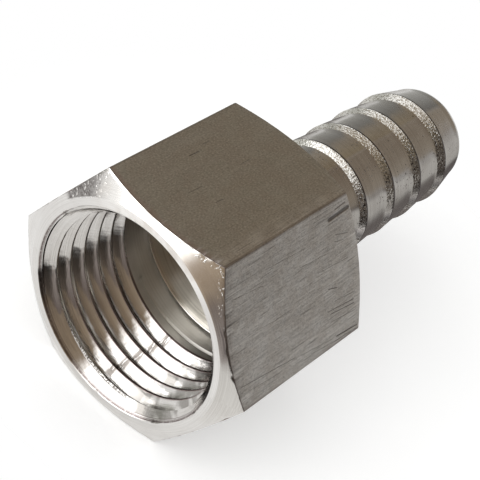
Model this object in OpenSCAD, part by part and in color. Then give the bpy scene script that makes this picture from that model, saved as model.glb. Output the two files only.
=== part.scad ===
// Hose thread adapter: a one-piece turned fitting. A hex body holds a parallel pipe thread
// and a barbed tail carries the hose. Sizes are in millimetres.
//
// The axis runs along Y: the thread's mouth faces -Y, with its front ring at y = 0, and
// the tail points to +Y. The part lies on a flat of the hex, with +Z up.

/* [Hex body] */
// Width of the hex across its flats (spanner size)
hex_across_flats = 24; // [23.5:0.5:32]
// Length of the hex body, from the front ring to the back face
hex_length = 19.6; // [18.5:0.1:30]
// Angle of both end chamfers, measured from the end faces
chamfer_angle = 28; // [15:1:45]
// Depth that each end chamfer cuts into the middle of a flat, along the radius
chamfer_bite = 0.7; // [0.3:0.05:0.9]

/* [Thread bore] */
// Wall of the tapped bore, at the crests of the thread
thread_minor_diameter = 19; // [18.6:0.05:19.1]
// Largest diameter of the thread, at its roots
thread_major_diameter = 20.955; // [20.9:0.005:21.1]
// Length of the threaded wall
thread_length = 9.3; // [6:0.1:10]
// Largest diameter of the countersink that leads into the thread
countersink_diameter = 20.7; // [20:0.1:21]
// Length of the countersink
countersink_length = 0.75; // [0.4:0.05:1.2]
// Size of the small edge break around the mouth
mouth_break = 0.28; // [0.1:0.02:0.3]
// Length of the relief groove behind the thread
relief_length = 4.1; // [2:0.1:4.5]
// Clearance between the thread's roots and the wall of the relief groove, on the radius
relief_clearance = 0.08; // [0.05:0.01:0.15]

/* [Hose tail] */
// Diameter of the plain neck between the hex and the first barb
neck_diameter = 11.7; // [11:0.1:12]
// Length of the plain neck
neck_length = 8.2; // [4:0.1:14]
// Number of barbs
barb_count = 4; // [2:1:7]
// Diameter over the barbs' edges
barb_diameter = 12.6; // [12.2:0.1:15]
// Distance from one barb's edge to the next
barb_pitch = 4.75; // [3.5:0.05:7]
// Height that each barb stands above the end of the barb before it, on the radius
barb_rise = 0.38; // [0.2:0.02:0.6]
// Length of the steep side of a barb, which faces the hex
barb_face_length = 0.75; // [0.2:0.05:1.2]
// Length of the nose, from the last barb's edge to the tip
nose_length = 5; // [3:0.1:8]
// Diameter of the nose where its end rounding starts
nose_diameter = 10.9; // [10.6:0.1:12]
// Radius of the rounding on the tip's outer edge
nose_rounding = 1.2; // [0.4:0.1:1.2]
// Diameter of the water way through the tail
water_way_diameter = 8; // [5:0.1:8.2]
// Size of the chamfer inside the tip
tip_chamfer = 0.2; // [0.1:0.05:0.3]

/* [Hidden] */

// Corners that turn into a hexagon, and smoothness of the round parts
HEX_SIDES = 6;
ROUND_FACETS = 96;

// Extra length that carries a cut past the face it starts from
CUT = 1;

hex_corner_radius = hex_across_flats / 2 / cos(180 / HEX_SIDES);
ring_radius = hex_across_flats / 2 - chamfer_bite;
chamfer_drop = (hex_corner_radius - ring_radius) * tan(chamfer_angle);

thread_radius = thread_minor_diameter / 2;
relief_radius = thread_major_diameter / 2 + relief_clearance;
countersink_radius = countersink_diameter / 2;
mouth_radius = countersink_radius + mouth_break;
thread_start = mouth_break + countersink_length;
thread_end = thread_start + thread_length;
bore_depth = thread_end + relief_length;

neck_radius = neck_diameter / 2;
barb_radius = barb_diameter / 2;
valley_radius = barb_radius - barb_rise;
water_way_radius = water_way_diameter / 2;
nose_radius = nose_diameter / 2;
first_edge = hex_length + neck_length + barb_face_length;
last_edge = first_edge + (barb_count - 1) * barb_pitch;
tip = last_edge + nose_length;

// Length of hex bar, with both ends turned to a shallow cone
module hex_body() {
    intersection() {
        cylinder(r = hex_corner_radius, h = hex_length, $fn = HEX_SIDES);
        rotate_extrude($fn = ROUND_FACETS)
            polygon([
                [0, 0],
                [ring_radius, 0],
                [hex_corner_radius, chamfer_drop],
                [hex_corner_radius, hex_length - chamfer_drop],
                [ring_radius, hex_length],
                [0, hex_length],
            ]);
    }
}

// Outline of one barb: the steep side up to the edge, then the ramp down to the next barb
function barb_outline(edge) = [
    [barb_radius, edge],
    [valley_radius, edge + barb_pitch - barb_face_length],
];

// Neck, row of barbs and rounded nose, turned in one piece with the hex
module hose_tail() {
    rotate_extrude($fn = ROUND_FACETS) {
        polygon(concat(
            [[0, hex_length - CUT], [neck_radius, hex_length - CUT]],
            [[neck_radius, hex_length + neck_length]],
            [for (i = [0 : barb_count - 2]) each barb_outline(first_edge + i * barb_pitch)],
            [[barb_radius, last_edge]],
            [[nose_radius, tip - nose_rounding], [nose_radius - nose_rounding, tip]],
            [[0, tip]]
        ));
        translate([nose_radius - nose_rounding, tip - nose_rounding])
            circle(r = nose_rounding, $fn = ROUND_FACETS);
    }
}

// Mouth, countersink, threaded wall and relief groove of the thread's bore
module thread_bore() {
    rotate_extrude($fn = ROUND_FACETS)
        polygon([
            [0, -CUT],
            [mouth_radius, -CUT],
            [mouth_radius, 0],
            [countersink_radius, mouth_break],
            [thread_radius, thread_start],
            [thread_radius, thread_end],
            [relief_radius, thread_end],
            [relief_radius, bore_depth],
            [0, bore_depth],
        ]);
}

// Water way from the bottom of the thread's bore to the tip
module water_way() {
    rotate_extrude($fn = ROUND_FACETS)
        polygon([
            [0, bore_depth - CUT],
            [water_way_radius, bore_depth - CUT],
            [water_way_radius, tip - tip_chamfer],
            [water_way_radius + tip_chamfer, tip],
            [water_way_radius + tip_chamfer, tip + CUT],
            [0, tip + CUT],
        ]);
}

// The whole fitting is one solid, turned so that its axis lies along Y
module adapter() {
    color("silver")
        rotate([-90, 0, 0])
            difference() {
                union() {
                    hex_body();
                    hose_tail();
                }
                thread_bore();
                water_way();
            }
}

adapter();
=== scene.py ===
from math import cos, pi, radians, sin, tan, tau

import bpy
import numpy as np
from mathutils import Matrix, Vector

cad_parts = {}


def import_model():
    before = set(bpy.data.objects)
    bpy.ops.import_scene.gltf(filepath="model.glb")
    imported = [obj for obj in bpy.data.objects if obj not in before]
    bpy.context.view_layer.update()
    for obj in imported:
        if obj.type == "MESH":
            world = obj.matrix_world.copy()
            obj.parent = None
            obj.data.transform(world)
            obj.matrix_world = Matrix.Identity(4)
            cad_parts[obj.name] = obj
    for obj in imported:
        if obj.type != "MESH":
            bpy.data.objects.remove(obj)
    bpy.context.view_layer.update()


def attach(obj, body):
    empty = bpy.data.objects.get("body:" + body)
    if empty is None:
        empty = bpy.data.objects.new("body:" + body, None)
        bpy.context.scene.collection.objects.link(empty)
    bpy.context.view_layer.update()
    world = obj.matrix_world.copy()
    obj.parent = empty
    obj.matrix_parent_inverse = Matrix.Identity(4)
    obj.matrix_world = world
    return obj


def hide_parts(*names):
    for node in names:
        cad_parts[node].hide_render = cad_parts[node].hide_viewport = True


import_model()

MM = 0.001

# Sizes, in millimetres. Most are those of part.scad, and r stands for a radius.

FLATS = 24.0            # hex across its flats
HEX_LENGTH = 19.6
CORNER_ROUND = 0.14     # rounding along the hex's long edges
CHAMFER = tan(radians(28))
CORNER_R = FLATS / 2 / cos(radians(30))
RING_R = 11.3           # outer edge of the front ring
MOUTH_R = 10.63         # outer edge of the mouth's edge break
SINK_R, SINK_Y = 10.35, 0.28            # where the countersink starts
CREST_R, THREAD_Y0, THREAD_Y1 = 9.42, 1.08, 10.33
PITCH, THREAD_PHASE = 1.814, 1.50
CREST_FLAT = 0.24       # width of the thread's crest
FACE_ARC = 3.4          # the groove's side that faces the mouth is a hollow arc of this radius
FACE_ROOT, FACE_CREST = 40.0, 60.0      # its slope at the root and at the crest, in degrees
RELIEF_R, FLOOR_R, BORE_END = 10.54, 10.3, 14.43
BITE_END = 11.92        # where the relief groove's deep side ends
WATER_R = 4.0
NECK_R, BARB_R = 5.85, 6.30
NOSE_R, NOSE_ROUND = 5.45, 1.2
FILLET = 0.3            # between the neck and the hex's back face
TIP = 47.8
EDGE_Y, BARB_PITCH = 28.55, 4.75        # the first barb's edge, and the way to the next
LAST_EDGE = EDGE_Y + 3 * BARB_PITCH
# The barbs' steep sides, from the tip back: the length, and the radius at the foot
STEEP_SIDES = [(0.87, 5.87), (0.81, 5.96), (0.90, 6.03), (0.60, NECK_R)]


# Columns round the axis

def columns():
    """Angles of the mesh columns in degrees: one a degree, and close together at each hex corner."""
    whole = [a for a in range(360) if a % 60]
    near = [60 * k + d for k in range(6) for d in (-0.46, -0.28, -0.1, 0.1, 0.28, 0.46)]
    return np.array(sorted(a % 360 for a in whole + near))


ANGLES = columns()
COLUMNS = len(ANGLES)
COS, SIN = np.cos(np.radians(ANGLES)), np.sin(np.radians(ANGLES))


def hex_outline():
    """Radius of the hex bar at each column, with its corners rounded."""
    off = (ANGLES % 60) - 30
    flat = FLATS / 2
    centre = (flat - CORNER_ROUND) / cos(radians(30))
    from_corner = np.radians(30 - np.abs(off))
    round_part = centre * np.cos(from_corner) + np.sqrt(
        np.maximum(CORNER_ROUND**2 - (centre * np.sin(from_corner)) ** 2, 0))
    flat_part = flat / np.cos(np.radians(off))
    tangent = np.degrees(np.arctan((flat - CORNER_ROUND) * tan(radians(30)) / flat))
    return np.where(np.abs(off) > tangent, round_part, flat_part)


HEX_R = hex_outline()


def smooth_noise(points, seed):
    """Even noise between -1 and 1 along the columns, with that many knots round the axis."""
    knots = np.random.default_rng(seed).uniform(-1, 1, points)
    t = ANGLES / 360 * points
    i = np.floor(t).astype(int)
    f = t - i
    f = f * f * (3 - 2 * f)
    return knots[i % points] * (1 - f) + knots[(i + 1) % points] * f


# Mesh collector

class Shell:
    """Rows of points round the axis, joined into one closed skin."""

    def __init__(self):
        self.points, self.faces, self.slots = [], [], []
        self.count = 0

    def row(self, r, y):
        """One point in every column; r and y are numbers or one value a column."""
        r, y = np.broadcast_to(r, (COLUMNS,)), np.broadcast_to(y, (COLUMNS,))
        self.points.append(np.stack([-r * COS, y, r * SIN], 1))
        self.count += COLUMNS
        return np.arange(self.count - COLUMNS, self.count)

    def loose(self, points):
        """Points that the caller joins itself."""
        self.points.append(points)
        self.count += len(points)

    def strip(self, a, b, slot):
        """Quads from row a to row b, facing away from the metal when a comes first on the way in."""
        a2, b2 = np.roll(a, -1), np.roll(b, -1)
        self.faces.append(np.stack([a, b, b2, a2], 1))
        self.slots.append(np.full(COLUMNS, slot))

    def lathe(self, start, profile):
        """A run of rows; profile is a list of (r, y, slot of the strip that leads to this row)."""
        last = start
        for r, y, slot in profile:
            new = self.row(r, y)
            self.strip(last, new, slot)
            last = new
        return last


# Material slots of the skin, in the order of STEELS below
FLAT, TURNED, THREAD, RELIEF, TAIL, STEP = range(6)


def between(a, b, n):
    """n rows from a to b, the first left out; a and b are (r, y), numbers or one value a column."""
    return [(a[0] + (b[0] - a[0]) * k / n, a[1] + (b[1] - a[1]) * k / n) for k in range(1, n + 1)]


def with_slot(rows, slot):
    """The same rows, each led to by a strip of that material."""
    return [(r, y, slot) for r, y in rows]


# The thread

def thread_profile():
    """(offset, depth) over one turn, from the crest's rear edge on to the next crest's front edge."""
    groove = PITCH - CREST_FLAT
    # the crest's rear edge, then the steep side that can't be seen from the mouth
    rear = [(-0.03, 0.0), (-0.004, 0.006), (0.02, 0.035)]
    hidden = [(0.26, 0.50), (0.44, 0.82), (0.50, 0.90), (0.58, 0.925)]
    # the hollow side that faces the mouth, then the crest's front edge
    face = []
    for a in np.linspace(FACE_ROOT, FACE_CREST, 7)[:-1]:
        face.append((groove - FACE_ARC * (sin(radians(FACE_CREST)) - sin(radians(a))),
                     FACE_ARC * (cos(radians(a)) - cos(radians(FACE_CREST)))))
    front = [(groove - 0.02, 0.032), (groove + 0.004, 0.006), (groove + 0.03, 0.0)]
    return rear + hidden + face + front


def thread_wall(skin):
    """The tapped wall: rows that follow the helix, cut off at both ends of the thread.
    Returns the first and the last point of every column."""
    profile = thread_profile()
    per_turn = len(profile)
    offsets, depths = (np.array(v) for v in zip(*profile))
    helix = [(turn, point) for turn in range(-2, 6) for point in profile]
    rows = len(helix)
    grid = np.zeros((COLUMNS, rows, 2))
    burr_a, burr_b = smooth_noise(150, 3), smooth_noise(97, 4)
    lead = THREAD_PHASE + PITCH * ANGLES / 360
    for i, (turn, (offset, depth)) in enumerate(helix):
        # one row of the helix: its depth in each column, and the countersink that cuts it off in front
        y = np.clip(lead + PITCH * turn + offset, SINK_Y, THREAD_Y1)
        r = CREST_R + np.interp(y - lead, offsets, depths, period=PITCH)
        if depth < 0.01 and turn <= 0:
            r = r - 0.02 * np.maximum(burr_a, 0) - 0.012 * np.maximum(burr_b, 0)
        run_in = np.clip((y - SINK_Y) / (THREAD_Y0 - SINK_Y), 0, 1)
        cone = SINK_R + (CREST_R - SINK_R) * run_in
        r = np.where(y < THREAD_Y0, np.maximum(cone, np.minimum(r, SINK_R)), r)
        grid[:, i, 0], grid[:, i, 1] = np.where(y <= SINK_Y, SINK_R, r), y
    # a column keeps the points between its last one at the front end and its first one at the rear end
    index = -np.ones((COLUMNS, rows), int)
    points, first, last = [], np.zeros(COLUMNS, int), np.zeros(COLUMNS, int)
    for c in range(COLUMNS):
        in_front = np.where(grid[c, :, 1] <= SINK_Y + 1e-9)[0]
        behind = np.where(grid[c, :, 1] >= THREAD_Y1 - 1e-9)[0]
        a, b = (in_front[-1] if len(in_front) else 0), (behind[0] if len(behind) else rows - 1)
        for i in range(a, b + 1):
            index[c, i] = skin.count + len(points)
            r, y = grid[c, i]
            points.append((-r * COS[c], y, r * SIN[c]))
        index[c, :a], index[c, b:] = index[c, a], index[c, b]
        first[c], last[c] = index[c, a], index[c, b]
    skin.loose(np.array(points))
    # the last column joins the first one a whole turn further on
    quads = []
    for c in range(COLUMNS):
        beside = (c + 1) % COLUMNS
        shift = per_turn if beside == 0 else 0
        for i in range(rows - 1):
            u, v = min(i + shift, rows - 1), min(i + 1 + shift, rows - 1)
            quads.append((index[c, i], index[c, i + 1], index[beside, v], index[beside, u]))
    quads = np.array(quads)
    keep = np.array([len(set(q)) > 2 for q in quads.tolist()])
    skin.faces.append(quads[keep])
    skin.slots.append(np.full(int(keep.sum()), THREAD))
    return first, last


# The whole skin

def build_bore(skin):
    """Mouth, thread, relief groove and water way, from the front ring inwards to the tip. Returns the
    ring's inner row and the tip's row."""
    ring_in = skin.row(MOUTH_R + 0.02, 0.0)
    rim = skin.row(MOUTH_R + 0.012 * smooth_noise(60, 11) + 0.01 * smooth_noise(170, 12), 0.02)
    skin.strip(ring_in, rim, TURNED)
    first, last = thread_wall(skin)
    skin.strip(rim, first, TURNED)

    # the relief groove is a little off centre: it bites on one side and runs out on the other, and its
    # rear side keeps the same slope all along
    bite = np.clip((np.cos(np.radians(ANGLES + 118)) - 0.35) / 0.55, 0, 1)
    bite = bite * bite * (3 - 2 * bite)
    groove_r = FLOOR_R + (RELIEF_R - FLOOR_R) * bite
    wall = [(groove_r - 0.03, THREAD_Y1), (groove_r, THREAD_Y1 + 0.03), (groove_r, 11.2),
            (groove_r, BITE_END),
            (FLOOR_R, BITE_END + 0.005 + (groove_r - FLOOR_R) / tan(radians(54)))]
    wall += [(FLOOR_R, y) for y in (12.3, 13.0, 13.7, BORE_END - 0.18)]
    corner = [(FLOOR_R - 0.024, BORE_END - 0.09), (FLOOR_R - 0.09, BORE_END - 0.024),
              (FLOOR_R - 0.18, BORE_END)]
    bottom = between(corner[-1], (WATER_R + 0.1, BORE_END), 10)
    water_way = [(WATER_R + 0.03, BORE_END + 0.03), (WATER_R, BORE_END + 0.1)]
    water_way += between(water_way[-1], (WATER_R, TIP - 0.22), 8)
    tip = [(WATER_R + 0.03, TIP - 0.17), (WATER_R + 0.17, TIP - 0.03), (WATER_R + 0.2, TIP)]
    return ring_in, skin.lathe(last, with_slot(wall + corner + bottom + water_way + tip, RELIEF))


def build_tail(skin, row):
    """Nose, barbs and neck, from the tip back to the hex."""
    nose = [(NOSE_R + NOSE_ROUND * (sin(radians(a)) - 1), TIP + NOSE_ROUND * (cos(radians(a)) - 1))
            for a in (0, 12, 25, 38, 50, 62, 74, 84, 90)]
    row = skin.lathe(row, with_slot(nose, TAIL))
    ramp_start, rows = (NOSE_R, TIP - NOSE_ROUND), 6
    for n, (length, foot_r) in enumerate(STEEP_SIDES):
        edge = LAST_EDGE - n * BARB_PITCH
        foot = edge - length
        row = skin.lathe(row, with_slot(between(ramp_start, (BARB_R - 0.01, edge + 0.06), rows), TAIL))
        wobble = 0.012 * smooth_noise(130, 20 + n) + 0.008 * smooth_noise(61, 30 + n)
        row = skin.lathe(row, [(BARB_R, edge + 0.01 + wobble, TAIL),
                               (BARB_R - 0.025, edge - 0.04 + wobble, STEP)])
        # the steep side is ridged by the tool's chatter, more in its middle
        brow, steps = BARB_R - 0.03, 6
        for k in range(1, steps + 1):
            t = k / (steps + 1)
            chatter = 0.016 * smooth_noise(170 + 13 * k, 40 + 10 * n + k) * sin(t * pi)
            r = brow + (foot_r - brow) * t + chatter * 0.6
            y = edge - 0.05 + (foot - edge + 0.05) * t + chatter
            row = skin.lathe(row, [(r, y, STEP)])
        row = skin.lathe(row, [(foot_r, foot, STEP), (foot_r - 0.005, foot - 0.05, TAIL)])
        ramp_start, rows = (foot_r - 0.005, foot - 0.05), 5
    neck_end = HEX_LENGTH + FILLET
    return skin.lathe(row, with_slot(between((NECK_R, foot - 0.05), (NECK_R, neck_end), 8), TAIL))


def build_hex(skin, row, ring_in):
    """Fillet, back face, back chamfer, flats, front chamfer and front ring."""
    fillet = [(NECK_R + FILLET * (1 - cos(radians(a))), HEX_LENGTH + FILLET * (1 - sin(radians(a))))
              for a in (25, 50, 75, 90)]
    face = between((NECK_R + FILLET, HEX_LENGTH), (RING_R, HEX_LENGTH), 6)
    chamfer = (HEX_R - RING_R) * CHAMFER
    back = HEX_LENGTH - chamfer
    back_chamfer = between((RING_R, HEX_LENGTH), (HEX_R - 0.05, back + 0.03), 6)
    row = skin.lathe(row, with_slot(fillet + face + back_chamfer + [(HEX_R - 0.012, back - 0.005)], TURNED))
    flat = [(HEX_R, back - 0.06)] + between((HEX_R, back - 0.06), (HEX_R, chamfer + 0.06), 14)
    # small nicks where the front chamfer cuts the flats
    nick = 0.05 * np.maximum(smooth_noise(140, 51), 0) + 0.15 * np.maximum(smooth_noise(90, 52) - 0.6, 0)
    row = skin.lathe(row, with_slot(flat + [(HEX_R - 0.012 - nick, chamfer + 0.005)], FLAT))
    front_chamfer = [(HEX_R - 0.05 - nick, chamfer - 0.03)]
    front_chamfer += between((HEX_R - 0.05, chamfer - 0.03), (RING_R + 0.03, 0.012), 7)
    ring = [(RING_R, 0.0), ((RING_R + MOUTH_R) / 2, 0.0)]
    row = skin.lathe(row, with_slot(front_chamfer + ring, TURNED))
    skin.strip(row, ring_in, TURNED)


def build_adapter():
    skin = Shell()
    ring_in, row = build_bore(skin)
    row = build_tail(skin, row)
    build_hex(skin, row, ring_in)
    mesh = bpy.data.meshes.new("hose_thread_adapter")
    faces = np.concatenate(skin.faces)
    # a quad with two corners in one place becomes a triangle
    mesh.from_pydata((np.concatenate(skin.points) * MM).tolist(), [],
                     [list(dict.fromkeys(face)) for face in faces.tolist()])
    mesh.polygons.foreach_set("material_index", np.concatenate(skin.slots).astype(np.int32))
    mesh.polygons.foreach_set("use_smooth", np.ones(len(faces), bool))
    mesh.update()
    ob = bpy.data.objects.new("hose_thread_adapter", mesh)
    bpy.context.scene.collection.objects.link(ob)
    return ob


# Node helpers

class Nodes:
    """Short words for the node trees below, where n is a Nodes and p a Place."""

    def __init__(self, tree):
        self.tree = tree
        tree.nodes.clear()

    def new(self, kind, **values):
        node = self.tree.nodes.new(kind)
        for key, value in values.items():
            setattr(node, key, value)
        return node

    def put(self, socket, value):
        if isinstance(value, bpy.types.NodeSocket):
            self.tree.links.new(value, socket)
        elif value is not None:
            socket.default_value = value

    def math(self, op, a, b=None, c=None, clamp=False):
        node = self.new("ShaderNodeMath", operation=op, use_clamp=clamp)
        for i, v in enumerate((a, b, c)):
            self.put(node.inputs[i], v)
        return node.outputs[0]

    def vec(self, op, a, b=None, scale=None):
        node = self.new("ShaderNodeVectorMath", operation=op)
        self.put(node.inputs[0], a)
        self.put(node.inputs[1], b)
        if scale is not None:
            self.put(node.inputs["Scale"], scale)
        return node.outputs["Value" if op in ("DISTANCE", "DOT_PRODUCT") else "Vector"]

    def times(self, first, *others):
        for other in others:
            first = self.math("MULTIPLY", first, other)
        return first

    def plus(self, first, *others):
        for other in others:
            first = self.math("ADD", first, other)
        return first

    def minus(self, a, b):
        return self.math("SUBTRACT", a, b)

    def noise(self, vector, scale, detail, rough):
        node = self.new("ShaderNodeTexNoise")
        self.put(node.inputs["Vector"], vector)
        self.put(node.inputs["Scale"], scale)
        self.put(node.inputs["Detail"], detail)
        self.put(node.inputs["Roughness"], rough)
        return node.outputs["Fac"]

    def stretched(self, *values, detail, rough):
        """Noise over three values. A pair is a value and its stretch: the larger, the finer the noise."""
        axes = [self.times(*v) if isinstance(v, tuple) else v for v in values]
        return self.noise(self.xyz(*axes), 1.0, detail, rough)

    def span(self, value, a, b, c=0.0, d=1.0, smooth=True):
        """c where the value is a, d where it is b, and held there beyond both."""
        node = self.new("ShaderNodeMapRange", interpolation_type="SMOOTHSTEP" if smooth else "LINEAR")
        for key, v in (("Value", value), ("From Min", a), ("From Max", b), ("To Min", c), ("To Max", d)):
            self.put(node.inputs[key], v)
        return node.outputs["Result"]

    def mix(self, fac, a, b):
        """Colour a where fac is 0, b where it is 1. The node's colour sockets are 6, 7 and output 2."""
        node = self.new("ShaderNodeMix", data_type="RGBA")
        self.put(node.inputs["Factor"], fac)
        self.put(node.inputs[6], a if isinstance(a, bpy.types.NodeSocket) else (*a, 1))
        self.put(node.inputs[7], b if isinstance(b, bpy.types.NodeSocket) else (*b, 1))
        return node.outputs[2]

    def xyz(self, x, y, z):
        node = self.new("ShaderNodeCombineXYZ")
        for i, v in enumerate((x, y, z)):
            self.put(node.inputs[i], v)
        return node.outputs[0]


class Place:
    """Where a point of the part is, in millimetres: x, y, z, the radius r and the angle round the axis."""

    def __init__(self, n):
        self.n = n
        coord = n.new("ShaderNodeTexCoord").outputs["Object"]
        self.p = n.vec("SCALE", coord, scale=1 / MM)
        sep = n.new("ShaderNodeSeparateXYZ")
        n.put(sep.inputs[0], self.p)
        self.x, self.y, self.z = sep.outputs
        self.r = n.math("SQRT", n.plus(n.times(self.x, self.x), n.times(self.z, self.z)))
        self.turn = n.math("ARCTAN2", self.z, n.times(self.x, -1.0))

    def towards(self, angle):
        """How far a point lies from the axis towards the flat whose normal has that angle."""
        return self.n.vec("DOT_PRODUCT", self.p, (-cos(radians(angle)), 0, sin(radians(angle))))

    def sector(self, a, b, c, d):
        """1 between the angles b and c, fading out towards a and d, in degrees round the axis."""
        return self.n.times(self.n.span(self.turn, radians(a), radians(b)),
                            self.n.span(self.turn, radians(c), radians(d), 1.0, 0.0))


def metal(name, build):
    """A bare steel material. build(n, place) returns its colour, its roughness and its bump height in
    millimetres, and for a brushed one the strength of its grain. The grain runs along the axis, or round
    it with a grain_turn of 0.25."""
    mat = bpy.data.materials.new(name)
    mat.use_nodes = True
    n = Nodes(mat.node_tree)
    out = n.new("ShaderNodeOutputMaterial")
    bsdf = n.new("ShaderNodeBsdfPrincipled")
    n.tree.links.new(bsdf.outputs[0], out.inputs["Surface"])
    bsdf.inputs["Metallic"].default_value = 1.0
    look = build(n, Place(n))
    n.put(bsdf.inputs["Base Color"], look["colour"])
    n.put(bsdf.inputs["Roughness"], look["roughness"])
    bump = n.new("ShaderNodeBump")
    bump.inputs["Distance"].default_value = MM
    n.put(bump.inputs["Height"], look["height"])
    n.put(bsdf.inputs["Normal"], bump.outputs[0])
    if "grain" in look:
        bsdf.inputs["Anisotropic"].default_value = look["grain"]
        bsdf.inputs["Anisotropic Rotation"].default_value = look.get("grain_turn", 0.0)
        tangent = n.new("ShaderNodeTangent", direction_type="RADIAL", axis="Y")
        n.put(bsdf.inputs["Tangent"], tangent.outputs[0])
    return mat


# The steels

# The flats that face up and right in the photograph, by the angle of their normal round the axis
TOP_FLAT, RIGHT_FLAT = 90, 150

# Scratches on both: across and along the flat at both ends of the mark, its width, and how dark it is
SCRATCHES = {
    RIGHT_FLAT: [
        (-5.42, 15.4, -5.55, 18.2, 0.36, 1.0),
        (-6.05, 16.4, -6.15, 17.9, 0.12, 0.8),
        (-3.63, 16.2, -3.15, 17.9, 0.10, 0.6),
        (-3.05, 15.9, -2.75, 17.2, 0.07, 0.6),
        (-1.10, 13.4, -0.75, 17.6, 0.05, 0.6),
        (1.05, 14.4, 1.42, 15.6, 0.10, 0.8),
        (2.60, 15.2, 2.95, 18.0, 0.06, 0.7),
        (3.20, 14.0, 3.65, 17.9, 0.07, 0.9),
        (3.59, 14.4, 4.05, 17.9, 0.08, 0.9),
        (4.37, 14.3, 4.80, 17.9, 0.06, 0.8),
        (6.12, 14.9, 6.42, 18.0, 0.11, 1.0),
        (6.45, 14.2, 6.72, 17.9, 0.06, 0.8),
        (6.05, 11.0, 6.60, 15.4, 0.05, 0.7),
        (5.50, 9.6, 6.10, 14.2, 0.05, 0.7),
        (4.47, 1.4, 5.30, 8.8, 0.07, 0.7),
        (5.25, 1.7, 5.68, 6.5, 0.06, 0.6),
        (-3.79, 1.8, -3.36, 5.6, 0.06, 0.5),
        (-4.60, 6.2, -4.20, 11.8, 0.05, 0.5),
        (-2.73, 10.8, -2.37, 15.1, 0.06, 0.5),
        (0.30, 4.1, 0.75, 9.0, 0.05, 0.4),
    ],
    TOP_FLAT: [
        (-4.17, 8.8, -4.13, 10.1, 0.09, 0.7),
        (-4.60, 11.0, -4.56, 11.9, 0.07, 0.5),
        (-0.92, 12.2, -0.92, 13.6, 0.07, 0.4),
        (-0.95, 5.2, -0.87, 7.0, 0.08, 0.4),
        (1.20, 6.5, 1.23, 7.4, 0.08, 0.5),
    ],
}


def on_flat(angle, across, along):
    """A point of the flat whose normal has that angle, in millimetres."""
    a = radians(angle)
    return (-FLATS / 2 * cos(a) + across * sin(a), along, FLATS / 2 * sin(a) + across * cos(a))


def scratch(n, p, angle, across0, along0, across1, along1, width, dark):
    """Up to dark inside one scratch, 0 outside it, thinner towards its ends."""
    start = Vector(on_flat(angle, across0, along0))
    run = Vector(on_flat(angle, across1, along1)) - start
    rel = n.vec("SUBTRACT", p.p, tuple(start))
    t = n.math("MULTIPLY", n.vec("DOT_PRODUCT", rel, tuple(run)), 1 / run.length_squared, clamp=True)
    gap = n.vec("DISTANCE", rel, n.vec("SCALE", tuple(run), scale=t))
    return n.span(gap, width * 0.3, width * 0.75, dark, 0.0)


def flats(n, p):
    """Drawn hex bar: streaks along the bar, finer and stronger on the flat that faces right, a mottled
    tone, scratches, a dark burr along the front chamfer and a faint broken line along the long edges."""
    def streaks(across, along, detail, shift):
        return n.stretched(n.math("MULTIPLY_ADD", p.x, across, shift), (p.y, along), (p.z, across),
                           detail=detail, rough=0.6)
    fine, middle = streaks(14.0, 0.40, 2.0, 0.0), streaks(3.6, 0.14, 2.0, 7.0)
    broad = streaks(0.8, 0.12, 1.0, 3.0)
    grain = n.noise(n.vec("MULTIPLY", p.p, (1.0, 0.6, 1.0)), 7.5, 1.0, 0.5)
    mottle = n.noise(p.p, 0.6, 4.0, 0.65)
    dark = n.span(streaks(8.0, 0.32, 1.0, 31.0), 0.60, 0.74)
    bright = n.span(streaks(9.0, 0.28, 1.0, 57.0), 0.60, 0.74)
    # the flat that faces right has been scraped more than the top one
    worn = n.span(p.towards(RIGHT_FLAT), 10.0, 11.917)
    tone = n.plus(n.times(fine, 0.5), n.times(middle, 0.3), n.times(broad, 0.2))
    top = n.mix(n.span(tone, 0.3, 0.7, smooth=False), (0.415, 0.405, 0.375), (0.60, 0.58, 0.54))
    side = n.mix(n.span(tone, 0.32, 0.68, smooth=False), (0.36, 0.345, 0.335), (0.88, 0.86, 0.84))
    base = n.mix(worn, top, side)
    base = n.mix(n.span(mottle, 0.38, 0.62, 0.0, 0.55), base, (0.47, 0.43, 0.395))
    base = n.mix(n.span(grain, 0.50, 0.72, 0.0, 0.55), base, (0.72, 0.70, 0.66))
    base = n.mix(n.span(grain, 0.28, 0.48, 0.5, 0.0), base, (0.28, 0.27, 0.255))
    base = n.mix(n.times(dark, n.span(worn, 0, 1, 0.16, 0.58, smooth=False)), base, (0.19, 0.18, 0.17))
    base = n.mix(n.times(bright, n.span(worn, 0, 1, 0.08, 0.50, smooth=False)), base, (0.84, 0.82, 0.79))
    marks = 0.0
    for angle, lines in SCRATCHES.items():
        for values in lines:
            marks = n.math("MAXIMUM", marks, scratch(n, p, angle, *values))
    base = n.mix(n.times(marks, 0.78), base, (0.10, 0.09, 0.085))
    # the long edges are a faint broken line, and the burr where the front chamfer cuts the flat is dark
    behind = n.minus(p.y, n.times(n.minus(p.r, RING_R), CHAMFER))
    red = n.times(n.span(behind, 0.12, 0.80, 0.45, 0.0), n.minus(1.0, worn))
    base = n.mix(red, base, (0.42, 0.30, 0.27))
    base = n.mix(n.span(behind, 0.05, 0.16, 0.7, 0.0), base, (0.16, 0.12, 0.11))
    edge = n.times(n.span(p.r, CORNER_R - 0.126, CORNER_R - 0.066),
                   n.span(middle, 0.35, 0.65, 0.2, 0.6))
    base = n.mix(edge, base, (0.20, 0.16, 0.15))
    height = n.plus(n.times(fine, 0.002), n.times(middle, 0.003), n.times(dark, worn, -0.006),
                    n.times(marks, -0.06))
    rough = n.span(middle, 0.3, 0.7, 0.33, 0.41)
    return {"colour": base, "roughness": rough, "height": height, "grain": 0.5}


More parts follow.
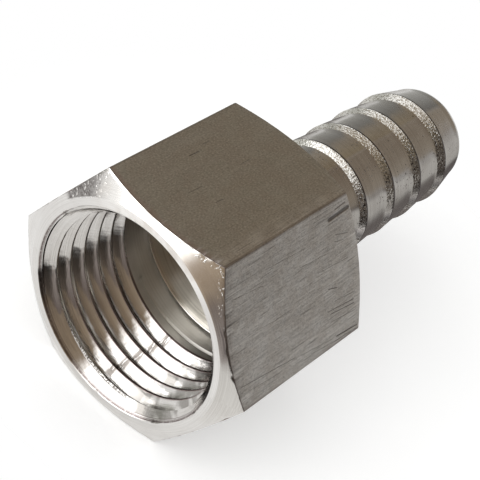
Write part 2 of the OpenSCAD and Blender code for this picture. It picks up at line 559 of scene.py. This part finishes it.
def turned(n, p):
    """Faced and chamfered ends: fine rings from the lathe tool, a dark rim round the mouth with a painted
    highlight on its upper side, a painted highlight on the upper part, a torn patch with painted glints
    beside one corner, and burrs and streaks beside the next."""
    rings = n.stretched((p.r, 12.0), (p.y, 12.0), (p.turn, 1.2), detail=2.0, rough=0.5)
    cloud = n.noise(p.p, 0.5, 2.0, 0.5)
    grit = n.noise(p.p, 5.0, 2.0, 0.6)
    dots = n.noise(p.p, 3.4, 0.0, 0.5)
    front = n.span(p.y, 4.0, 5.0, 1.0, 0.0)
    # the torn patch lies on the front chamfer, before the corner at 60 degrees
    edge = n.math("MULTIPLY_ADD", cloud, radians(12), p.turn)
    torn = n.times(n.span(edge, radians(39), radians(45)), n.span(edge, radians(56), radians(70), 1.0, 0.0),
                   n.span(n.math("MULTIPLY_ADD", grit, 0.3, p.r), RING_R + 0.20, RING_R + 0.36), front)
    # glints: light spots where the torn patch's dark colour is left off, a painted sparkle; they bump the
    # surface too
    glints = n.span(dots, 0.65, 0.72)
    # small burrs stand along the chamfer's outer edge, on both sides of the corner at 120 degrees
    inside = n.minus(FLATS / 2, n.math("MAXIMUM", p.towards(TOP_FLAT), p.towards(RIGHT_FLAT)))
    burrs = n.times(n.span(inside, 0.15, 0.60, 1.0, 0.0), front, p.sector(98, 108, 132, 150),
                    n.span(n.noise(p.p, 4.2, 1.0, 0.5), 0.60, 0.68))
    # past that corner the tool's lines are dark streaks
    lines = n.stretched((p.r, 9.0), (p.turn, 2.5), 0.0, detail=2.0, rough=0.6)
    streaked = n.times(p.sector(138, 146, 152, 158), front, n.span(p.r, RING_R, RING_R + 0.15),
                       n.span(lines, 0.46, 0.60, 0.0, 0.7))
    # the edge break round the mouth is dark, with a darker line, and narrower on its upper side
    inner = n.minus(p.r, n.span(p.turn, radians(5), radians(45), 0.0, 0.15))
    line = n.span(n.math("ABSOLUTE", n.minus(p.r, MOUTH_R - 0.10)), 0.03, 0.07, 0.92, 0.62)
    rim = n.times(n.span(inner, SINK_R + 0.01, SINK_R + 0.05),
                  n.span(p.r, MOUTH_R - 0.08, MOUTH_R - 0.02, 1.0, 0.0),
                  line, front, n.span(grit, 0.34, 0.46, 0.5, 1.0))
    base = n.mix(n.span(rings, 0.3, 0.7), (0.66, 0.64, 0.615), (0.75, 0.735, 0.71))
    base = n.mix(n.span(cloud, 0.4, 0.6, 0.0, 0.15), base, (0.56, 0.53, 0.50))
    # painted highlight: the upper part is painted brighter and warmer in patches
    top_highlight = n.mix(n.span(cloud, 0.40, 0.62), (1.0, 0.975, 0.93), (0.80, 0.74, 0.67))
    base = n.mix(n.times(p.sector(45, 80, 116, 134), front, 0.6), base, top_highlight)
    dull = n.times(torn, n.span(grit, 0.34, 0.62, 0.98, 0.66), n.span(glints, 0, 1, 1.0, 0.1))
    base = n.mix(dull, base, (0.14, 0.125, 0.12))
    base = n.mix(streaked, base, (0.30, 0.28, 0.28))
    base = n.mix(rim, base, (0.14, 0.105, 0.10))
    # painted highlight: the upper side of the mouth's edge break is dull and painted pale
    pale = n.times(p.sector(25, 50, 115, 150), n.span(p.r, MOUTH_R - 0.05, MOUTH_R + 0.01, 1.0, 0.0))
    base = n.mix(n.times(pale, 0.8), base, (0.95, 0.93, 0.90))
    rough = n.plus(n.span(cloud, 0.3, 0.7, 0.13, 0.20), n.times(torn, 0.16), n.times(pale, 0.5))
    height = n.plus(n.times(rings, 0.0016), n.times(torn, n.plus(grit, glints), 0.035),
                    n.times(burrs, 0.03))
    return {"colour": base, "roughness": rough, "height": height, "grain": 0.4, "grain_turn": 0.25}


def thread(n, p):
    """Tapped wall: fine lines along the groove, dull crests with a painted dark reflection, a dotted burr on
    the first crest, a row of ticks, duller patches, and a painted highlight on the upper side of the
    countersink."""
    # along is the same all along one crest
    along = n.minus(p.y, n.times(p.turn, PITCH / tau))
    lines = n.stretched((p.r, 13.0), (along, 13.0), (p.turn, 1.6), detail=2.0, rough=0.5)
    cloud = n.stretched((p.turn, 5.0), (p.y, 0.5), p.r, detail=2.0, rough=0.5)
    wave = n.stretched((p.turn, 11.0), (p.y, 0.25), 0.0, detail=2.0, rough=0.5)
    ragged = n.stretched((p.turn, 13.0), (along, 6.0), 3.0, detail=1.0, rough=0.5)
    grit = n.noise(p.p, 6.0, 1.0, 0.5)
    # the burr follows the crest where the thread starts
    burr = n.span(n.math("ABSOLUTE", n.minus(along, THREAD_PHASE - 0.06)), 0.06, 0.14, 1.0, 0.0)
    burr = n.times(burr, p.sector(-114, -104, -24, -14), n.span(p.y, 0.75, 0.95))
    # the row of ticks runs along the bore
    aside = n.math("MULTIPLY_ADD", p.y, radians(0.35), p.turn)
    aside = n.math("ABSOLUTE", n.plus(aside, radians(86.0)))
    ticks = n.stretched((p.turn, 55.0), (p.y, 1.6), 0.0, detail=1.0, rough=0.5)
    row = n.times(n.span(aside, radians(1.2), radians(3.2), 1.0, 0.0), n.span(p.y, 1.6, 2.2),
                  n.span(ticks, 0.38, 0.52))
    # the lower right of the bore is duller in patches
    blotch = n.stretched((p.turn, 6.0), (p.y, 0.55), 5.0, detail=1.0, rough=0.5)
    blotch = n.times(n.span(blotch, 0.42, 0.54), p.sector(-165, -150, -112, -98))
    # the crests are dull, and painted dark as a painted reflection of the dark bore, strongest low in the
    # bore, but for the first one and the upper left of the bore
    from_crest = n.math("WRAP", n.minus(along, THREAD_PHASE - CREST_FLAT / 2), PITCH / 2, -PITCH / 2)
    crest = n.times(n.span(n.math("ABSOLUTE", from_crest), CREST_FLAT / 2, CREST_FLAT / 2 + 0.07, 1.0, 0.0),
                    n.span(p.turn, radians(-50), radians(-20), 1.0, 0.2),
                    n.span(along, THREAD_PHASE + 0.5, THREAD_PHASE + 0.8))
    # the start of the countersink is dark, but for its upper side
    rim = n.times(n.span(p.r, SINK_R - 0.08, SINK_R - 0.01), n.span(p.y, 0.40, 0.55, 1.0, 0.0),
                  n.span(p.turn, radians(5), radians(40), 1.0, 0.0))
    base = n.mix(n.span(lines, 0.3, 0.7), (0.60, 0.58, 0.555), (0.71, 0.69, 0.665))
    base = n.mix(n.times(n.span(cloud, 0.45, 0.7), 0.22), base, (0.50, 0.46, 0.43))
    base = n.mix(n.times(blotch, 0.75), base, (0.25, 0.235, 0.215))
    # painted dark reflection on the crests
    base = n.mix(n.times(crest, 0.85), base, (0.25, 0.185, 0.175))
    base = n.mix(n.times(row, 0.85), base, (0.14, 0.12, 0.105))
    base = n.mix(n.times(burr, n.span(grit, 0.40, 0.52, 0.9, 0.0)), base, (0.10, 0.085, 0.08))
    base = n.mix(n.times(rim, 0.8), base, (0.16, 0.125, 0.115))
    height = n.plus(n.times(lines, 0.0012), n.times(wave, 0.014), n.times(ragged, 0.008),
                    n.times(burr, grit, 0.09), n.times(row, -0.008))
    # painted highlight: the upper side of the countersink is dull and painted pale
    pale = n.times(p.sector(25, 50, 115, 150), n.span(p.y, 0.7, 1.1, 1.0, 0.0))
    base = n.mix(pale, base, (0.95, 0.93, 0.90))
    rough = n.plus(n.span(cloud, 0.3, 0.7, 0.10, 0.17), n.times(crest, 0.18), n.times(pale, 0.55))
    return {"colour": base, "roughness": rough, "height": height, "grain": 0.3, "grain_turn": 0.25}


def relief(n, p):
    """Bored wall, faintly ringed, and the turned bottom of the socket with its stronger rings."""
    bottom = n.span(p.y, BORE_END - 0.12, BORE_END - 0.02)
    wall_rings = n.stretched(0.0, (p.y, 5.0), (p.turn, 0.4), detail=2.0, rough=0.5)
    face_rings = n.stretched((p.r, 4.2), 0.0, (p.turn, 0.25), detail=3.0, rough=0.65)
    soft = n.stretched((p.turn, 3.4), (p.y, 0.15), 0.0, detail=2.0, rough=0.5)
    base = n.mix(n.span(wall_rings, 0.3, 0.7), (0.63, 0.61, 0.565), (0.71, 0.69, 0.65))
    base = n.mix(n.times(bottom, n.span(face_rings, 0.40, 0.60)), base, (0.86, 0.835, 0.79))
    base = n.mix(n.times(bottom, n.span(face_rings, 0.34, 0.44, 0.6, 0.0)), base, (0.30, 0.275, 0.24))
    base = n.mix(n.times(n.span(soft, 0.35, 0.65), 0.3), base, (0.42, 0.395, 0.345))
    height = n.plus(n.times(wall_rings, 0.0008), n.times(bottom, face_rings, 0.018))
    rough = n.span(bottom, 0, 1, 0.28, 0.18)
    return {"colour": base, "roughness": rough, "height": height, "grain": 0.4, "grain_turn": 0.25}


def tail(n, p):
    """Turned tail: rings of the tool, a cloudy tone, a nose with a painted highlight on top and painted
    shade below, pits, and a dark line just past each barb's edge."""
    rings = n.stretched((p.r, 3.0), (p.y, 11.0), (p.turn, 0.8), detail=3.0, rough=0.65)
    cloud = n.stretched((p.turn, 3.0), (p.y, 0.35), p.r, detail=2.0, rough=0.55)
    pits = n.noise(p.p, 4.5, 1.0, 0.5)
    worn = n.span(n.noise(p.p, 0.5, 1.0, 0.5), 0.44, 0.54)
    pitted = n.times(n.span(pits, 0.68, 0.73), worn)
    past = n.minus(n.math("WRAP", n.minus(p.y, EDGE_Y), BARB_PITCH - 0.5, -0.5), 0.04)
    lip = n.times(n.span(n.math("ABSOLUTE", past), 0.14, 0.22, 1.0, 0.0),
                  n.span(p.r, BARB_R - 0.15, BARB_R - 0.08))
    base = n.mix(n.span(rings, 0.3, 0.7), (0.55, 0.53, 0.505), (0.68, 0.66, 0.635))
    base = n.mix(n.times(n.span(cloud, 0.4, 0.65), 0.3), base, (0.47, 0.43, 0.40))
    # painted highlight on the nose's upper side and painted shade below it
    nose = n.span(p.y, LAST_EDGE + 0.1, LAST_EDGE + 0.5)
    low = n.span(n.math("ABSOLUTE", p.turn), radians(155), radians(172))
    base = n.mix(n.times(nose, p.sector(45, 70, 85, 105), 0.6), base, (0.95, 0.94, 0.92))
    base = n.mix(n.times(nose, low, 0.6), base, (0.24, 0.225, 0.22))
    base = n.mix(n.times(pitted, 0.85), base, (0.08, 0.07, 0.068))
    base = n.mix(n.times(lip, 0.95), base, (0.06, 0.05, 0.048))
    height = n.plus(n.times(rings, 0.0012), n.times(pitted, -0.03), n.times(cloud, 0.006))
    rough = n.span(cloud, 0.3, 0.7, 0.13, 0.19)
    return {"colour": base, "roughness": rough, "height": height, "grain": 0.8, "grain_turn": 0.25}


def step(n, p):
    """Steep sides of the barbs: hammered by the form tool's chatter, with painted bright glints, a few dark
    pits, and painted shade that darkens them on the right and most underneath."""
    chatter = n.noise(p.p, 4.6, 1.0, 0.55)
    pits = n.span(n.noise(p.p, 4.0, 1.0, 0.5), 0.60, 0.66)
    # painted shade: the steep sides are painted darker towards the right, where more pits lie too, and
    # darker still below and underneath
    shade_and_pits = p.sector(112, 140, 154, 168)
    below = n.span(p.turn, radians(150), radians(166))
    under = n.span(n.math("ABSOLUTE", p.turn), radians(170), radians(179))
    # the chatter's light spots in the colour are painted glints
    base = n.mix(n.span(chatter, 0.36, 0.50), (0.60, 0.565, 0.50), (1.0, 0.985, 0.94))
    base = n.mix(n.times(shade_and_pits, 0.3), base, (0.30, 0.265, 0.25))
    base = n.mix(n.times(below, 0.85), base, (0.50, 0.47, 0.45))
    base = n.mix(n.times(under, 0.8), base, (0.22, 0.205, 0.20))
    base = n.mix(n.times(pits, n.span(shade_and_pits, 0, 1, 0.25, 0.95, smooth=False)), base, (0.06, 0.052, 0.05))
    height = n.times(chatter, n.span(below, 0, 1, 0.07, 0.015, smooth=False))
    return {"colour": base, "roughness": 0.22, "height": height}


STEELS = [("steel_flats", flats), ("steel_turned", turned), ("steel_thread", thread),
          ("steel_relief", relief), ("steel_tail", tail), ("steel_step", step)]


# The studio

# Point that the boards and the lamp stand round
CENTRE = Vector((0, 15, 0)) * MM

# Boards that the metal reflects, from the farthest to the nearest: a name, the azimuths of both sides, the
# elevations of the foot and the head, and the colours of the foot and the head. Azimuth 0 is in front of the
# mouth and grows towards +X. A pair of colours runs from the first side to the second. Last come the degrees
# over which the sides fade, and the foot and the head.
BOARDS = [
    ("card_left", -183, -52, -14, 29, ((0.39, 0.38, 0.36), (0.60, 0.61, 0.57)),
     ((0.0, 0.0, 0.01), (0.40, 0.40, 0.36)), 12, 6),
    ("card_left_high", -180, -110, 19, 74, ((0.28, 0.23, 0.155), (0.40, 0.37, 0.34)),
     (0.21, 0.16, 0.10), 8, 1),
    ("card_top", -100, 113, 66, 88, (0.26, 0.19, 0.12), (0.25, 0.18, 0.11), 8, 5),
    ("card_front_right", -11, 74, -28, 48, ((0.58, 0.48, 0.38), (0.03, 0.02, 0.01)),
     ((0.24, 0.17, 0.10), (0.06, 0.04, 0.03)), 13, 8),
    ("card_right_low", 90, 176, -6, 13, (0.38, 0.36, 0.335), (0.46, 0.47, 0.50), 6, 4),
    ("card_right", 66, 148, -1, 86, ((0.01, 0.01, 0.01), (0.15, 0.13, 0.12)),
     ((0.02, 0.01, 0.01), (0.34, 0.28, 0.18)), 8, 4),
    ("card_floor_edge", 84, 176, -38, 3, (0.40, 0.39, 0.37), (0.60, 0.59, 0.57), 8, 7),
    ("card_back_floor", -188, -92, -42, -12, (0.70, 0.69, 0.67), (0.60, 0.59, 0.57), 8, 4),
    ("card_back", 130, 190, 3, 74, (0.34, 0.30, 0.25), (0.13, 0.085, 0.05), 7, 4),
    ("card_front_floor", 14, 120, -66, -22, (0.90, 0.89, 0.87), (0.74, 0.73, 0.71), 12, 6),
    ("card_corner", 9, 38, -27, 5, (0.42, 0.38, 0.36), (0.14, 0.11, 0.10), 9, 3),
    ("card_front_low", 27, 118, -26, 4, (0.0, 0.0, 0.0), (0.11, 0.09, 0.075), 9, 3),
    ("card_left_edge", -78, -57, -5, 12, (0.20, 0.195, 0.18), (0.16, 0.155, 0.14), 7, 4),
]


def board_material(name, foot, head, side, end):
    """Plain glow between two pairs of colours. It fades out over the shares side and end of the board."""
    mat = bpy.data.materials.new(name)
    mat.use_nodes = True
    n = Nodes(mat.node_tree)
    sep = n.new("ShaderNodeSeparateXYZ")
    n.put(sep.inputs[0], n.new("ShaderNodeTexCoord").outputs["UV"])
    u, v = sep.outputs[0], sep.outputs[1]
    glow = n.new("ShaderNodeEmission")
    n.put(glow.inputs["Color"], n.mix(v, n.mix(u, *foot), n.mix(u, *head)))
    edge = n.times(n.span(u, 0.0, side), n.span(u, 1.0, 1.0 - side),
                   n.span(v, 0.0, end), n.span(v, 1.0, 1.0 - end))
    blend = n.new("ShaderNodeMixShader")
    n.put(blend.inputs[0], edge)
    n.tree.links.new(n.new("ShaderNodeBsdfTransparent").outputs[0], blend.inputs[1])
    n.tree.links.new(glow.outputs[0], blend.inputs[2])
    n.tree.links.new(blend.outputs[0], n.new("ShaderNodeOutputMaterial").inputs["Surface"])
    return mat


def board(name, grid, material):
    """A board from rows of points, seen only in the metal's reflections."""
    rows, cols = len(grid), len(grid[0])
    starts = [j * cols + i for j in range(rows - 1) for i in range(cols - 1)]
    faces = [(a, a + 1, a + cols + 1, a + cols) for a in starts]
    mesh = bpy.data.meshes.new(name)
    mesh.from_pydata([tuple(v) for row in grid for v in row], [], faces)
    uv = mesh.uv_layers.new(name="board")
    for poly in mesh.polygons:
        for loop, vertex in zip(poly.loop_indices, poly.vertices):
            uv.data[loop].uv = (vertex % cols / (cols - 1), vertex // cols / (rows - 1))
    mesh.materials.append(material)
    ob = bpy.data.objects.new(name, mesh)
    bpy.context.scene.collection.objects.link(ob)
    ob.visible_camera = False
    ob.visible_shadow = False
    ob.visible_diffuse = False


def direction(az, el):
    """Unit vector; azimuth 0 is in front of the mouth and grows towards +X."""
    az, el = radians(az), radians(el)
    return Vector((sin(az) * cos(el), -cos(az) * cos(el), sin(el)))


def card(name, az0, az1, el0, el1, foot, head, side, end, distance):
    """A curved board round the part. Its sides fade over side degrees, its foot and head over end."""
    foot, head = (pair if isinstance(pair[0], tuple) else (pair, pair) for pair in (foot, head))
    cols, rows = 24, 8
    grid = [[CENTRE + direction(az0 + (az1 - az0) * i / cols, el0 + (el1 - el0) * j / rows) * distance
             for i in range(cols + 1)] for j in range(rows + 1)]
    board(name, grid, board_material(name, foot, head, side / (az1 - az0), end / (el1 - el0)))


def flag(name, x0, x1, y0, y1, z, colour, side, end):
    """A flat dark board just above the floor. Its sides fade over the shares side and end of it."""
    grid = [[Vector((x, y, z)) * MM for x in (x0, x1)] for y in (y0, y1)]
    board(name, grid, board_material(name, (colour, colour), (colour, colour), side, end))


def softbox(name, az, el, distance, size, power):
    """A soft lamp that faces the part."""
    light = bpy.data.lights.new(name, "AREA")
    light.shape = "RECTANGLE"
    light.size, light.size_y = size
    light.energy = power
    ob = bpy.data.objects.new(name, light)
    ob.location = CENTRE + direction(az, el) * distance
    ob.rotation_euler = (CENTRE - ob.location).to_track_quat("-Z", "Y").to_euler()
    bpy.context.scene.collection.objects.link(ob)


def shown(n, to_camera, to_metal):
    """Strength for the rays that show the background: the camera's, and those that metal or glass
    sends on. It is 0 for the rays that light things."""
    path = n.new("ShaderNodeLightPath")
    camera_part = n.times(path.outputs["Is Camera Ray"], to_camera)
    sent_on = n.math("MAXIMUM", path.outputs["Is Glossy Ray"], path.outputs["Is Transmission Ray"])
    return n.math("MAXIMUM", camera_part, n.times(sent_on, to_metal))


def floor():
    """A round pale plinth top that fades out towards its edge, with the part's shadow on it."""
    centre, reach, top = Vector((0, 25)) * MM, 46 * MM, -12.03 * MM
    sides = 120
    points = [(centre.x, centre.y, top)]
    for i in range(sides):
        a = tau * i / sides
        points.append((centre.x + reach * cos(a), centre.y + reach * sin(a), top))
    mesh = bpy.data.meshes.new("studio_floor")
    mesh.from_pydata(points, [], [(0, 1 + i, 1 + (i + 1) % sides) for i in range(sides)])
    ob = bpy.data.objects.new("studio_floor", mesh)
    bpy.context.scene.collection.objects.link(ob)
    mat = bpy.data.materials.new("studio_floor")
    mat.use_nodes = True
    n = Nodes(mat.node_tree)
    diffuse = n.new("ShaderNodeBsdfDiffuse")
    coord = n.new("ShaderNodeTexCoord").outputs["Object"]
    n.put(diffuse.inputs["Color"], n.mix(n.noise(coord, 90.0, 3.0, 0.5), (0.80, 0.80, 0.795),
                                         (0.84, 0.84, 0.835)))
    glow = n.new("ShaderNodeEmission")
    glow.inputs["Color"].default_value = (1, 1, 1, 1)
    n.put(glow.inputs["Strength"], shown(n, 0.36, 0.24))
    both = n.new("ShaderNodeAddShader")
    n.tree.links.new(diffuse.outputs[0], both.inputs[0])
    n.tree.links.new(glow.outputs[0], both.inputs[1])
    from_centre = n.vec("DISTANCE", coord, (centre.x, centre.y, top))
    fade = n.new("ShaderNodeMixShader")
    n.put(fade.inputs[0], n.span(from_centre, 0.50 * reach, 0.86 * reach))
    n.tree.links.new(both.outputs[0], fade.inputs[1])
    n.tree.links.new(n.new("ShaderNodeBsdfTransparent").outputs[0], fade.inputs[2])
    n.tree.links.new(fade.outputs[0], n.new("ShaderNodeOutputMaterial").inputs["Surface"])
    mesh.materials.append(mat)


def world():
    """White as seen by the camera and in the metal, a little less as a light."""
    studio_world = bpy.data.worlds.new("studio")
    bpy.context.scene.world = studio_world
    studio_world.use_nodes = True
    n = Nodes(studio_world.node_tree)
    back = n.new("ShaderNodeBackground")
    back.inputs["Color"].default_value = (1, 1, 1, 1)
    n.put(back.inputs["Strength"], n.math("MAXIMUM", shown(n, 1.0, 1.0), 0.8))
    n.tree.links.new(back.outputs[0], n.new("ShaderNodeOutputWorld").inputs["Surface"])


def studio():
    floor()
    for i, values in enumerate(BOARDS):
        card(*values, distance=0.50 - 0.01 * i)
    # painted shade: a dark sheet under the tail, seen only in the metal, stands in for the floor's shadow
    # there
    flag("painted_shade_under_tail", -34, 26, 21, 74, -11.9, (0.15, 0.135, 0.13), 0.2, 0.12)
    softbox("window", -32, 24, 0.6, (0.76, 0.44), 1.75)
    world()


def camera():
    """The photograph's camera: place, directions and focal length were fitted to it."""
    eye = Vector((45.73, -77.63, 95.07)) * MM
    focal, frame_width = 1473.7, 480    # in pixels
    sensor = 36.0
    cam = bpy.data.cameras.new("camera")
    cam.sensor_fit, cam.sensor_width = "HORIZONTAL", sensor
    cam.lens = sensor * focal / frame_width
    cam.clip_start, cam.clip_end = 0.005, 10
    ob = bpy.data.objects.new("camera", cam)
    right = Vector((0.7179, 0.6357, 0.2837)).normalized()
    back = Vector((0.3254, -0.6667, 0.6706)).normalized()
    up = back.cross(right).normalized()
    right = up.cross(back)
    turn = Matrix((right, up, back)).transposed()
    ob.matrix_world = Matrix.Translation(eye) @ turn.to_4x4()
    bpy.context.scene.collection.objects.link(ob)
    bpy.context.scene.camera = ob


camera()
adapter = build_adapter()
for steel in STEELS:
    adapter.data.materials.append(metal(*steel))
adapter.data.set_sharp_from_angle(angle=radians(24))
weight = adapter.modifiers.new("even_normals", "WEIGHTED_NORMAL")
weight.keep_sharp = True
weight.mode = "FACE_AREA"

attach(adapter, "root")
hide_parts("adapter")

studio()
bpy.context.scene.view_settings.view_transform = "Standard"
